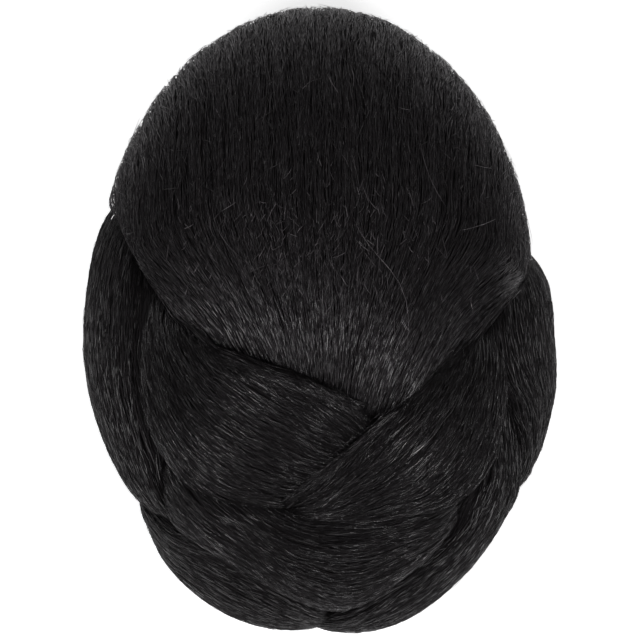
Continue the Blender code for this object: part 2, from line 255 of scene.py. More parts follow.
# Hairs along the seams of the front locks, by points of each seam on the picture plane
# (count, offset, spread, points)
SEAM_HAIRS = (
    (220, -0.0006, 0.0009, ((-0.0488, 0.0158), (-0.0402, 0.0023), (-0.0298, -0.0078), (-0.0143, -0.0150),
                            (0.0030, -0.0207), (0.0130, -0.0245))),
    (170, 0.0006, 0.0008, ((0.0560, 0.0095), (0.0520, 0.0058), (0.0405, -0.0072), (0.0289, -0.0187),
                           (0.0240, -0.0232))),
    (220, 0.0002, 0.0009, ((0.0245, -0.0232), (0.0197, -0.0268), (0.0088, -0.0363), (-0.0004, -0.0438),
                           (-0.0099, -0.0518))),
)
SEAM_SEED = 913
SEAM_POINTS = 9
SEAM_STARTS = (-0.08, 0.95)
SEAM_LENGTHS = (0.010, 0.024)
SEAM_STRAY = 0.0007
SEAM_WIDTHS = (0.00018, 0.00026)
SEAM_DEPTH = 0.0006
SEAM_REACH = 0.0013
SEAM_SUNK = 0.0007

# Short hair ends that stand off the crown's top and sides, at shares of its width and degrees over its top
FUZZ_SEED = 912
FUZZ_COUNT = 700
FUZZ_POINTS = 6
FUZZ_SHARE = 0.93
FUZZ_STRAY = 0.035
FUZZ_TURNS = (30, 105)
FUZZ_LENGTHS = (2, 5)
FUZZ_LIFTS = (0.0002, 0.0011)
FUZZ_WIDTHS = (0.00016, 0.00022)
FUZZ_TONES = (0.3, 1.0)

# The locks at the sides and the bottom, whose hair is duller
OUTER_LOCKS = ("right_outer_lock", "left_outer_lock", "lower_left_lock", "lower_right_lock")

# The front locks under the crown, whose hair is finer and better combed
CROSSING_LOCKS = ("right_crossing_lock", "left_crossing_lock", "lower_middle_lock")
CROSSING_WIDTH_SHARE = 0.78
CROSSING_LEAN_SHARE = 0.75

# How far the strands of a lock lean across it towards its b side, as a slope
LEANS = {
    "right_crossing_lock": 0.14,
    "lower_middle_lock": 0.27,
    "left_crossing_lock": 0.27,
}

# The claw clip, as in the part's source
CLIP_LENGTH = 0.074
CLIP_WIDTH = 0.040
CLIP_PLATE = 0.0022
CLIP_TIP_LEVEL = 0.004
CLIP_TIP_GAP = 0.007
CLIP_CLEARANCE = 0.0004
BARREL_RADIUS = 0.0040
BARREL_DEPTH = 0.013
LEVER_LENGTH = 0.044
LEVER_SPREAD = 0.015
LEVER_SEAT_SHARE = 0.3
TEETH = 7
TOOTH_SHARE = 0.55
TOOTH_TIP_SHARE = 0.4
TOOTH_STAGGER_SHARE = 0.25
JAW_FULLNESS = 0.8
BARREL_LEVEL = WIDEST_LEVEL + HOLLOW_RISE - BARREL_DEPTH
JAW_ROWS = 18
JAW_PLATE_ROWS = 6
LEVER_ROWS = 6
LEVER_COLUMNS = 16
BARREL_SIDES = 32
BARREL_EDGE_STEPS = 3
PLATE_EDGE_STEPS = 2
CLIP_EDGE = 0.0005
SHARP_EDGE = math.radians(40)
SMOOTH_EDGE = math.radians(30)
CLIP_BLACKS = ((0.3, (0.0080, 0.0078, 0.0080)), (0.7, (0.0130, 0.0126, 0.0128)))
CLIP_CLOUD = {"Scale": 90.0, "Detail": 3.0}
CLIP_GRAIN = {"Scale": 1800.0, "Detail": 1.0}
CLIP_ROUGHNESS = (0.24, 0.14)
CLIP_RELIEF = {"Strength": 0.25, "Distance": 0.0002}
CLOUD_SHARE = 0.8
GRAIN_SHARE = 0.2

# The crown's comb lines. They run at a share of the crown's width over the top, from CROWN_STARTS degrees
# behind it, and from GATHER_TURN on they close in on the share GATHER_AT, the sides later than the middle.
CROWN_STARTS = 128.0
SIDE_STARTS = 75.0
CROWN_ENDS = -40.0
CROWN_RADIUS = 0.075
CROWN_HALF_WIDTH = 0.068
GATHER_AT = 0.04
GATHER_TURN = 27.0
GATHER_OVER = 31.0
GATHER_SIDES = 0.5
CROWN_SPAN = (-0.985, 0.985)
CROWN_EDGE = 0.99
SIDES_FROM = 0.45

# The paths along the other locks: the shares across that they start from, and those that they are kept within
LOCK_SPAN = (-0.08, 1.08)
LOCK_KEPT = (0.002, 0.998)

# How finely the locks are sampled for their lengths, widths and areas, and the crown for its surface
FLOW_LINES = 9
FLOW_STATIONS = 40
WIDTH_STATIONS = 60
AREA_GRID = (40, 20)
CROWN_GRID = (90, 121)

# Where rays out of the hollow start, and how far they go
CAST_START = 0.002
CAST_REACH = 0.04

# The floor, the room's light and the studio lights, and the camera straight over the front
FLOOR_SIZE = 6
FLOOR_PALE = 0.93
FLOOR_GLOW = 0.62
ROOM_LIGHT = 0.27
# (name, way, width, length, power)
STUDIO_LIGHTS = (
    ("left_box", (-0.50, -0.26, 0.86), 0.18, 0.38, 2.4),
    ("right_box", (0.42, -0.26, 0.90), 0.18, 0.38, 2.4),
    ("low_left_box", (-0.62, -0.60, 0.50), 0.14, 0.30, 0.8),
    ("low_right_box", (0.68, -0.52, 0.52), 0.14, 0.30, 0.9),
    ("top_panel", (0.0, 0.72, 0.69), 1.20, 0.90, 0.70),
)
LIGHT_DISTANCE = 1.0
SENSOR_WIDTH = 36
CAMERA_DISTANCE = 1.2
PICTURE_PIXELS = 640
METRES_A_PIXEL = 0.000288
NEAREST_SEEN = 0.05


def lone_selection(thing):
    """Selects one object alone and makes it active."""
    for other in bpy.context.selected_objects:
        other.select_set(False)
    thing.select_set(True)
    bpy.context.view_layer.objects.active = thing


def apply_change(piece, kind, settings):
    """Adds a modifier to the piece and applies it."""
    lone_selection(piece)
    change = piece.modifiers.new(kind.lower(), kind)
    for key, setting in settings.items():
        setattr(change, key, setting)
    bpy.ops.object.modifier_apply(modifier=change.name)


def dome_points(east, north, height):
    """Points at tilts from the front middle, in degrees, and at heights out of the hollow, and their outward
    ways."""
    tilt = np.radians(np.hypot(east, north))
    bearing = np.arctan2(north, east)
    out = np.stack([np.sin(tilt) * np.cos(bearing), np.sin(tilt) * np.sin(bearing), np.cos(tilt)], -1)
    return points_out(out, height), out


def points_out(out, height):
    """Points in outward ways of the dome, at heights out of the hollow."""
    depth = np.where(out[..., 2] > 0, HOLLOW_RISE, HOLLOW_FALL)
    size = np.stack([np.full_like(depth, HOLLOW_WIDTH / 2),
                     np.full_like(depth, HOLLOW_LENGTH / 2), depth], -1)
    return out * (size + np.asarray(height)[..., None]) + np.array((0, 0, WIDEST_LEVEL))


def thinning(east, north):
    """The share of its height that the hair keeps as it turns in towards the back rim."""
    turned = np.clip((np.hypot(east, north) - THINNING_STARTS) / (THINNING_ENDS - THINNING_STARTS), 0, 1)
    return 1 - (1 - RIM_SHARE) * (1 - np.cos(math.pi * turned)) / 2


def rows_at(name, along):
    """A lock's section values at shares of the way along it, on smooth curves through its rows."""
    rows = np.array(LOCKS[name], dtype=float)
    last = len(rows) - 1
    at = np.clip(np.asarray(along), 0, 1) * last
    index = np.minimum(at.astype(int), last - 1)
    share = (at - index)[..., None]
    p, q = rows[np.maximum(index - 1, 0)], rows[index]
    r, s = rows[index + 1], rows[np.minimum(index + 2, last)]
    return 0.5 * (2 * q + (r - p) * share + (2 * p - 5 * q + 4 * r - s) * share ** 2
                  + (3 * q - p - 3 * r + s) * share ** 3)


def place_across(rows, across):
    """The tilts at shares of the way across sections, which are straight or arcs."""
    a_east, a_north, b_east, b_north, bow = np.moveaxis(rows[..., :5], -1, 0)
    reach = np.hypot(b_east - a_east, b_north - a_north)
    east = (b_east - a_east) / reach
    north = (b_north - a_north) / reach
    turn = np.maximum(2 * np.arctan2(2 * bow, reach), FLATTEST_TURN)
    radius = reach / 2 / np.sin(turn)
    ahead = radius * np.sin(turn * (2 * across - 1))
    aside = radius * np.cos(turn * (2 * across - 1)) - radius * np.cos(turn)
    return ((a_east + b_east) / 2 + east * ahead - north * aside,
            (a_north + b_north) / 2 + north * ahead + east * aside)


def lock_surface(name, along, across):
    """Points of a lock's outer surface and their outward ways, at shares of the way along and across it."""
    rows = rows_at(name, along)
    east, north = place_across(rows, across)
    near_a, middle, near_b = np.moveaxis(rows[..., 5:], -1, 0)
    crowned = (near_a * (1 - across) * (1 - 2 * across) + middle * 4 * across * (1 - across)
               + near_b * across * (2 * across - 1))
    width = np.hypot(rows[..., 2] - rows[..., 0], rows[..., 3] - rows[..., 1])
    width = width * math.radians(1) * MEAN_RADIUS
    width = width + np.abs(rows[..., 4]) * math.radians(1) * MEAN_RADIUS
    edge = np.minimum(LOCK_EDGE_RADIUS / width, WIDEST_EDGE_SHARE)
    inside = np.clip(np.minimum(across, 1 - across) / edge, 0, 1)
    drop = LOCK_EDGE_RADIUS * (1 - np.sqrt(1 - (1 - inside) ** 2))
    height = HAIR_THICKNESS * crowned * thinning(east, north) - drop
    return dome_points(east, north, height)


def table_noise(table, at, over):
    """Smooth noise from a table of random numbers, which repeats."""
    at = np.asarray(at) % table.shape[0]
    over = np.asarray(over) % table.shape[1]
    i, j = at.astype(int), over.astype(int)
    f, g = at - i, over - j
    f, g = f * f * (3 - 2 * f), g * g * (3 - 2 * g)
    i2, j2 = (i + 1) % table.shape[0], (j + 1) % table.shape[1]
    return ((table[i, j] * (1 - f) + table[i2, j] * f) * (1 - g)
            + (table[i, j2] * (1 - f) + table[i2, j2] * f) * g)


def node_tree_of(name):
    """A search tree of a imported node's solid."""
    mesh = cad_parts[name].data
    return BVHTree.FromPolygons([v.co[:] for v in mesh.vertices], [p.vertices[:] for p in mesh.polygons])


def unit(ways):
    """The ways at length one."""
    return ways / np.maximum(np.linalg.norm(ways, axis=-1, keepdims=True), 1e-9)


def runs(kept, fewest):
    """The first and last-plus-one index of each run of kept points that has at least the fewest."""
    turns = np.flatnonzero(np.diff(np.concatenate(([0], kept.astype(int), [0]))))
    return [(first, last) for first, last in zip(turns[::2], turns[1::2]) if last - first >= fewest]


def add_strands(name, paths, ways, kept, widths, tones, material):
    """One joined mesh of closed three-sided strands, along the kept runs of the paths, with their ridges
    towards the ways. It holds each strand's tone, and the distance along it."""
    corners, faces, shades, lengths = [], [], [], []
    start = 0
    for path, way, keep, width, tone in zip(paths, ways, kept, widths, tones):
        for first, last in runs(keep, FEWEST_POINTS):
            line, up = path[first:last], way[first:last]
            count = last - first
            ahead = unit(np.gradient(line, axis=0))
            side = unit(np.cross(ahead, up))
            rise = np.cross(side, ahead)
            place = np.arange(count)
            from_tip = np.minimum(place, count - 1 - place)
            half = width / 2 * np.minimum(1, TIP_WIDTH_SHARE + TIP_WIDENING * from_tip)[:, None]
            ridge = line + rise * half * 2 * STRAND_DEPTH_SHARE
            ring = np.stack([line - side * half, ridge, line + side * half], 1)
            corners.append(ring.reshape(-1, 3))
            base = start + 3 * np.arange(count - 1)[:, None]
            walls = [base + np.array((one, two, two + 3, one + 3))
                     for one, two in ((0, 1), (1, 2), (2, 0))]
            far = start + 3 * (count - 1)
            caps = np.array(((start, start + 2, start + 1, -1), (far, far + 1, far + 2, -1)))
            faces += walls + [caps]
            shades.append(np.full(3 * count, tone))
            steps = np.concatenate(([0], np.cumsum(np.linalg.norm(np.diff(line, axis=0), axis=1))))
            lengths.append(np.repeat(steps + tone, 3))
            start += 3 * count
    corners, faces = np.concatenate(corners), np.concatenate(faces)
    sizes = np.where(faces[:, 3] < 0, 3, 4)
    mesh = bpy.data.meshes.new(name)
    mesh.vertices.add(len(corners))
    mesh.vertices.foreach_set("co", corners.astype(np.float32).ravel())
    mesh.loops.add(int(sizes.sum()))
    mesh.loops.foreach_set("vertex_index", faces[faces >= 0].astype(np.int32))
    mesh.polygons.add(len(faces))
    mesh.polygons.foreach_set("loop_start", (np.cumsum(sizes) - sizes).astype(np.int32))
    mesh.update(calc_edges=True)
    for word, numbers in (("tone", shades), ("run", lengths)):
        layer = mesh.attributes.new(word, "FLOAT", "POINT")
        layer.data.foreach_set("value", np.concatenate(numbers).astype(np.float32))
    mesh.shade_smooth()
    mesh.materials.append(material)
    piece = bpy.data.objects.new(name, mesh)
    bpy.context.collection.objects.link(piece)
    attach(piece, "root")


def shows(name, points):
    """Which points lie on the part of a lock that the locks over it leave, and above the back rim."""
    tree = node_tree_of(name)
    near = [tree.find_nearest(Vector(point), COVER_REACH)[0] is not None for point in points.reshape(-1, 3)]
    return np.array(near).reshape(points.shape[:-1]) & (points[..., 2] > RIM_CLEARANCE)


def spread_along(name, random, count):
    """Shares of the way along a lock, picked so that its wide sections get more strands."""
    along = np.linspace(0, 1, WIDTH_STATIONS)
    rows = rows_at(name, along)
    width = np.hypot(rows[:, 2] - rows[:, 0], rows[:, 3] - rows[:, 1])
    total = np.concatenate(([0], np.cumsum((width[1:] + width[:-1]) / 2)))
    return np.interp(random.random(count) * total[-1], total, along)


def lock_lines(name, random, count, steps, lean):
    """Strand paths along a lock: points, outward ways, those on the lock, and each point's place in its
    relief."""
    label = random.uniform(*LOCK_SPAN, count)
    lines, stations = np.linspace(0, 1, FLOW_LINES), np.linspace(0, 1, FLOW_STATIONS)
    grid = lock_surface(name, stations[None], np.tile(lines[:, None], (1, len(stations))))[0]
    whole = np.linalg.norm(np.diff(grid, axis=1), axis=2).sum(1)
    whole = np.interp(label, lines, whole)
    along = spread_along(name, random, count)
    rows = rows_at(name, along)
    reach = np.hypot(rows[:, 2] - rows[:, 0], rows[:, 3] - rows[:, 1]) * WIDTH_OF_DEGREE
    lean = LEANS.get(name, 0) + random.normal(0, lean, count)
    along = along[:, None] + steps[None] / whole[:, None]
    across = label[:, None] + (lean / np.maximum(reach, NARROW))[:, None] * steps[None]
    inside = (along > 0) & (along < 1) & (across > LOCK_KEPT[0]) & (across < LOCK_KEPT[1])
    points, out = lock_surface(name, np.clip(along, 0, 1), np.clip(across, 0, 1))
    return points, out, inside, (across * CLUMPS_ACROSS, along * CLUMPS_ALONG)


def crown_lines(surface, random, count, steps, lean):
    """Strand paths over the crown: down over the top at their own share of its width, then closing in."""
    lean = random.normal(0, lean, (count, 1))
    share = random.uniform(*CROWN_SPAN, count)[:, None] + lean / CROWN_HALF_WIDTH * steps[None]
    share = np.clip(share, -CROWN_EDGE, CROWN_EDGE)
    radius = CROWN_RADIUS * np.sqrt(1 - share ** 2)
    starts = CROWN_STARTS + SIDE_STARTS * np.maximum(np.abs(share[:, :1]) - SIDES_FROM, 0)
    turn = CROWN_ENDS + (starts - CROWN_ENDS) * random.uniform(0, 1, (count, 1))
    turn = turn - np.degrees(steps[None] / radius)
    aside = share - GATHER_AT
    turned = np.maximum(GATHER_TURN - turn, 0) / (GATHER_OVER * (1 + GATHER_SIDES * aside ** 2))
    share = GATHER_AT + aside / (1 + turned ** 2)
    rest = np.sqrt(1 - share ** 2)
    out = np.stack([share, rest * np.sin(np.radians(turn)), rest * np.cos(np.radians(turn))], -1)
    points, hit = cast_out(surface, out)
    return points, out, hit & (turn < starts), (share * CROWN_CLUMPS, turn / CROWN_CLUMP_TURN)


def area_of(name):
    """The area of a lock's outer surface, with what the locks over it hide."""
    along, across = np.meshgrid(*(np.linspace(0, 1, count) for count in AREA_GRID), indexing="ij")
    grid = lock_surface(name, along, across)[0]
    one, two = grid[1:, :-1] - grid[:-1, :-1], grid[:-1, 1:] - grid[:-1, :-1]
    return np.linalg.norm(np.cross(one, two), axis=-1).sum()


def crown_surface():
    """A search tree of the crown's smooth outer surface."""
    along, across = np.meshgrid(*(np.linspace(0, 1, count) for count in CROWN_GRID), indexing="ij")
    surface = lock_surface("crown_lock", along, across)[0].reshape(-1, 3)
    index = np.arange(len(surface)).reshape(along.shape)
    quads = np.stack([index[:-1, :-1], index[:-1, 1:], index[1:, 1:], index[1:, :-1]], -1)
    quads = quads.reshape(-1, 4)
    return BVHTree.FromPolygons([Vector(point) for point in surface], quads.tolist())


def cast_out(surface, out):
    """Where outward ways from the hollow meet a surface, and whether they do."""
    starts = points_out(out, np.full(out.shape[:-1], CAST_START)).reshape(-1, 3)
    points = np.zeros((len(starts), 3))
    hits = np.zeros(len(starts), dtype=bool)
    for index, (start, way) in enumerate(zip(starts, out.reshape(-1, 3))):
        place = surface.ray_cast(Vector(start), Vector(way), CAST_REACH)[0]
        if place is not None:
            points[index] = place
            hits[index] = True
    return points.reshape(out.shape), hits.reshape(out.shape[:-1])


def comb_layer(name, layer, seed, surface, material):
    """One layer of a lock's strands, in shallow clumps, each with its own light kink."""
    random = np.random.default_rng(seed)
    points_each, pitch, width, coverage, lean = LAYERS[layer][:5]
    short_wave, long_wave, rise_wave, side_wave, sunk = LAYERS[layer][5:]
    if name in CROSSING_LOCKS:
        width, lean = width * CROSSING_WIDTH_SHARE, lean * CROSSING_LEAN_SHARE
    count = round(coverage * area_of(name) / (width * pitch * (points_each - 1)))
    steps = (np.arange(points_each) - (points_each - 1) / 2) * pitch
    if name == "crown_lock":
        points, out, kept, (across, along) = crown_lines(surface, random, count, steps, lean)
    else:
        points, out, kept, (across, along) = lock_lines(name, random, count, steps, lean)
    kept &= shows(name, np.where(kept[..., None], points, 0))
    lock_seed = seed // 10
    clumps = np.random.default_rng(lock_seed).uniform(-1, 1, CLUMP_TABLE)
    locklets = np.random.default_rng(lock_seed + 1).uniform(-1, 1, LOCKLET_TABLE)
    relief = (CLUMP_RELIEF * table_noise(clumps, across, along)
              + LOCKLET_RELIEF * table_noise(locklets, across * LOCKLETS_ACROSS, along * LOCKLETS_ALONG))
    wave = 2 * math.pi / random.uniform(short_wave, long_wave, (2, count, 1))
    phase = random.uniform(0, 2 * math.pi, (3, count, 1))
    amount = random.gamma(*WAVE_SHAPE, (2, count, 1))
    second = np.sin(steps * wave[1] * SECOND_WAVE_RATE + phase[2])
    lift = rise_wave * amount[0] * (np.sin(steps * wave[0] + phase[0]) + SECOND_WAVE_SHARE * second)
    sway = side_wave * amount[1] * np.sin(steps * wave[1] + phase[1])
    depth = -sunk - random.exponential(DEPTH_SPREAD, (count, 1))
    side = unit(np.cross(np.gradient(points, axis=1), out))
    points = points + out * (relief + lift + depth)[..., None] + side * sway[..., None]
    widths = width * random.uniform(*WIDTH_RANGE, count)
    tones = random.beta(*TONE_SHAPE, count)
    piece_name = name.replace("_lock", "_" + layer + "_hair")
    add_strands(piece_name, points, out, kept, widths, tones, material)


def drop_on(surface, x, y):
    """Points on the front of a surface under places on the picture plane."""
    points = np.zeros(x.shape + (3,))
    for index in np.ndindex(x.shape):
        place = surface.ray_cast(Vector((x[index], y[index], DROP_LEVEL)), Vector((0, 0, -1)))[0]
        points[index] = place if place is not None else (x[index], y[index], np.nan)
    return points


def straightened(points, kept):
    """The points with their levels on smooth lines, for hairs that don't follow each ripple under them."""
    steps = np.linspace(-1, 1, points.shape[1])
    bends = np.stack([np.ones_like(steps), steps, steps ** 2], 1)
    whole = kept.all(1)
    points[whole, :, 2] = points[whole, :, 2] @ (bends @ np.linalg.pinv(bends)).T
    return points


def ways_out(points):
    """The dome's outward way near each point."""
    depth = np.where(points[..., 2] > WIDEST_LEVEL, HOLLOW_RISE, HOLLOW_FALL) + HAIR_THICKNESS
    size = np.stack([np.full_like(depth, HOLLOW_WIDTH / 2 + HAIR_THICKNESS),
                     np.full_like(depth, HOLLOW_LENGTH / 2 + HAIR_THICKNESS), depth], -1)
    return unit((points - np.array((0, 0, WIDEST_LEVEL))) / size ** 2)


def add_loose_hairs(surface, material):
    """Hairs that have come loose: short ones over the middle of the crown, and a few long ones."""
    random = np.random.default_rng(LOOSE_SEED)
    steps = np.linspace(0, 1, LOOSE_POINTS)
    groups = []
    for count, middle_x, middle_y, spread_x, spread_y, shortest, longest, lift in LOOSE_HAIRS:
        x = random.normal(middle_x, spread_x, (count, 1))
        y = random.normal(middle_y, spread_y, (count, 1))
        length = random.uniform(shortest, longest, (count, 1))
        turn = random.normal(0, LOOSE_TURN, (count, 1)) + random.normal(0, LOOSE_CURL, (count, 1)) * steps
        groups.append((x + np.sin(turn) * length * steps, y - np.cos(turn) * length * steps,
                       lift * random.uniform(*LOOSE_LIFT_RANGE, (count, 1)) * steps ** LIFT_POWER))
    for places in LONG_LOOSE_HAIRS:
        places = np.array(places)
        reach = np.linspace(0, 1, len(places))
        fit = np.polynomial.Polynomial.fit
        x = fit(reach, places[:, 0], len(places) - 1)(steps)
        y = fit(reach, places[:, 1], len(places) - 1)(steps)
        groups.append((x[None], y[None], LONG_LIFT * np.sin(math.pi * steps)[None] + LONG_FOOT_LIFT))
    x, y, lift = (np.concatenate(part) for part in zip(*groups))
    points = drop_on(surface, x, y)
    kept = np.isfinite(points[..., 2])
    points = straightened(np.where(kept[..., None], points, 0), kept)
    out = ways_out(points)
    points = points + out * lift[..., None]
    widths = random.uniform(*LOOSE_WIDTHS, len(points))
    tones = random.uniform(*LOOSE_TONES, len(points))
    add_strands("loose_hairs", points, out, kept, widths, tones, material)


def add_seam_hairs(material):
    """Hairs that lie along the seams between the front locks and fill their shadows."""
    corners, faces = [], []
    for name in LOCKS:
        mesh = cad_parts[name].data
        first = len(corners)
        corners += [vert.co[:] for vert in mesh.vertices]
        faces += [[first + index for index in polygon.vertices] for polygon in mesh.polygons]
    surface = BVHTree.FromPolygons(corners, faces)
    random = np.random.default_rng(SEAM_SEED)
    steps = np.linspace(0, 1, SEAM_POINTS)
    groups = []
    for count, offset, spread, places in SEAM_HAIRS:
        places = np.array(places)
        reach = np.concatenate(([0], np.cumsum(np.hypot(*np.diff(places, axis=0).T))))
        start = random.uniform(*SEAM_STARTS, (count, 1)) * reach[-1]
        run = start + random.uniform(*SEAM_LENGTHS, (count, 1)) * steps
        x, y = np.interp(run, reach, places[:, 0]), np.interp(run, reach, places[:, 1])
        way = np.stack([np.gradient(x, axis=1), np.gradient(y, axis=1)])
        way = way / np.maximum(np.hypot(*way), 1e-9)
        aside = (offset + random.normal(0, spread, (count, 1))
                 + random.normal(0, SEAM_STRAY, (count, 1)) * steps)
        groups.append((x, y, way[1], way[0], aside))
    x, y, back, ahead, aside = (np.concatenate(part) for part in zip(*groups))
    banks = [drop_on(surface, x - back * (aside + step), y + ahead * (aside + step))
             for step in (-SEAM_REACH, 0, SEAM_REACH)]
    points = banks[1]
    highest = np.maximum(banks[0][..., 2], banks[2][..., 2])
    points[..., 2] = np.maximum(points[..., 2], highest - SEAM_SUNK)
    kept = np.isfinite(points[..., 2])
    points = straightened(np.where(kept[..., None], points, 0), kept)
    out = ways_out(points)
    points = points - out * random.uniform(0, SEAM_DEPTH, (len(points), 1, 1))
    widths = random.uniform(*SEAM_WIDTHS, len(points))
    tones = random.beta(*TONE_SHAPE, len(points))
    add_strands("seam_hair", points, out, kept, widths, tones, material)


def add_rim_fuzz(surface, material):
    """Short hair ends that stand a little off the crown's top and sides."""
    random = np.random.default_rng(FUZZ_SEED)
    each = (FUZZ_COUNT, 1)
    steps = np.linspace(0, 1, FUZZ_POINTS)
    share = random.uniform(-FUZZ_SHARE, FUZZ_SHARE, each) + random.normal(0, FUZZ_STRAY, each) * steps
    turn = random.uniform(*FUZZ_TURNS, each) - random.uniform(*FUZZ_LENGTHS, each) * steps
    rest = np.sqrt(1 - share ** 2)
    out = np.stack([share, rest * np.sin(np.radians(turn)), rest * np.cos(np.radians(turn))], -1)
    points, kept = cast_out(surface, out)
    points = points + out * (random.uniform(*FUZZ_LIFTS, each) * steps ** LIFT_POWER)[..., None]
    kept &= shows("crown_lock", points)
    widths = random.uniform(*FUZZ_WIDTHS, FUZZ_COUNT)
    tones = random.uniform(*FUZZ_TONES, FUZZ_COUNT)
    add_strands("rim_fuzz", points, out, kept, widths, tones, material)


class Value:
    """A socket of a material's nodes, with arithmetic that adds Math nodes."""

    def __init__(self, tree, socket):
        self.tree = tree
        self.socket = socket

    def limited(self, low, high):
        """This value kept between two numbers."""
        return self.maths("MINIMUM", self.maths("MAXIMUM", self, low), high)

    def maths(self, operation, *terms):
        """A Math node of the terms."""
        made = self.tree.nodes.new("ShaderNodeMath")
        made.operation = operation
        for slot_in, term in zip(made.inputs, terms):
            if isinstance(term, Value):
                self.tree.links.new(term.socket, slot_in)
            else:
                slot_in.default_value = term
        return Value(self.tree, made.outputs[0])

    def __add__(self, other):
        return self.maths("ADD", self, other)

    def __radd__(self, other):
        return self.maths("ADD", other, self)

    def __sub__(self, other):
        return self.maths("SUBTRACT", self, other)

    def __rsub__(self, other):
        return self.maths("SUBTRACT", other, self)

    def __mul__(self, other):
        return self.maths("MULTIPLY", self, other)

    def __rmul__(self, other):
        return self.maths("MULTIPLY", other, self)


class Finish:
    """A material with one Principled shader, and one way to add any other node."""

    def __init__(self, name, constants):
        self.material = bpy.data.materials.new(name)
        self.material.use_nodes = True
        self.tree = self.material.node_tree
        self.shader = self.tree.nodes["Principled BSDF"]
        for socket, number in constants.items():
            self.shader.inputs[socket].default_value = number

    def node(self, kind, settings=None, inputs=None, output=0):
        """A node of this type with its settings and the values or links of its sockets."""
        made = self.tree.nodes.new(kind)
        for key, setting in (settings or {}).items():
            if key == "stops":
                for stop, (place, colour) in zip(self.stops(made, len(setting)), setting):
                    stop.position = place
                    stop.color = (*colour, 1)
            else:
                setattr(made, key, setting)
        for key, given in (inputs or {}).items():
            if isinstance(given, Value):
                self.tree.links.new(given.socket, made.inputs[key])
            else:
                made.inputs[key].default_value = given
        return Value(self.tree, made.outputs[output])

    def pair(self, first, second):
        """A vector of two values."""
        return self.node("ShaderNodeCombineXYZ", {}, {"X": first, "Y": second})

    @staticmethod
    def stops(ramp, count):
        """A colour ramp's stops, made as many as asked."""
        while len(ramp.color_ramp.elements) < count:
            ramp.color_ramp.elements.new(0.5)
        return ramp.color_ramp.elements

    def feed(self, socket, given):
        """Links a value to a socket of the shader."""
        self.tree.links.new(given.socket, self.shader.inputs[socket])


def strand_finish(name, specular, roughness, smoother, shine,
                  gloss=0.28, dash_rate=DASH_RATE, pale=PALEST_BLACK):
    """Near-black hair: each strand has its own tone and gloss, and fine kinks that break its highlight up
    into short dashes."""
    finish = Finish(name, {"Specular IOR Level": specular, "Specular Tint": HAIR_TINT,
                           "Coat Roughness": gloss, "Coat IOR": COAT_IOR, "Coat Tint": HAIR_TINT})
    tone = finish.node("ShaderNodeAttribute", {"attribute_name": "tone"}, output=2)
    run = finish.node("ShaderNodeAttribute", {"attribute_name": "run"}, output=2)
    stops = ((0.0, DARKEST_BLACK), (0.5, MIDDLE_BLACK), (1.0, pale))
    finish.feed("Base Color", finish.node("ShaderNodeValToRGB", {"stops": stops}, {"Fac": tone}))
    kinks = finish.node("ShaderNodeTexNoise", {"noise_dimensions": "2D"},
                        {"Vector": finish.pair(run * KINK_RATE, tone * KINK_TONE_RATE),
                         "Scale": 1.0, "Detail": 1.0})
    dashes = finish.node("ShaderNodeTexNoise", {"noise_dimensions": "2D"},
                         {"Vector": finish.pair(run * dash_rate, tone * DASH_TONE_RATE),
                          "Scale": 1.0, "Detail": 0.0})
    glint = ((dashes - DASH_THRESHOLD) * DASH_CONTRAST).limited(0.0, 1.0)
    place = finish.node("ShaderNodeTexCoord", output=3)
    north = finish.node("ShaderNodeSeparateXYZ", {}, {"Vector": place}, 1)
    lower = ((LOWER_FROM - north) * LOWER_GAIN).limited(LOWER_LEAST, 1.0)
    finish.feed("Coat Weight", glint * (tone * GLINT_BY_TONE + GLINT_LEAST) * shine * lower)
    finish.feed("Roughness", roughness - smoother * tone)
    bump = finish.node("ShaderNodeBump", {}, {"Height": kinks, "Strength": 1.0, "Distance": KINK_RELIEF})
    finish.feed("Normal", bump)
    return finish.material


def body_finish():
    """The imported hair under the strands, in the same black with a fine combed relief."""
    finish = Finish("black_hair_mass", {"Specular IOR Level": 0.2, "Specular Tint": HAIR_TINT})
    place = finish.node("ShaderNodeTexCoord", output=3)
    turned = finish.node("ShaderNodeMapping", {}, {"Vector": place, "Scale": MASS_GRAIN})
    grain = finish.node("ShaderNodeTexNoise", {}, {"Vector": turned, "Scale": 1.0, "Detail": 3.0})
    finish.feed("Base Color", finish.node("ShaderNodeValToRGB", {"stops": MASS_BLACKS}, {"Fac": grain}))
    finish.feed("Roughness", MASS_ROUGHNESS[0] + MASS_ROUGHNESS[1] * grain)
    finish.feed("Normal", finish.node("ShaderNodeBump", {}, {"Height": grain, **MASS_RELIEF}))
    return finish.material


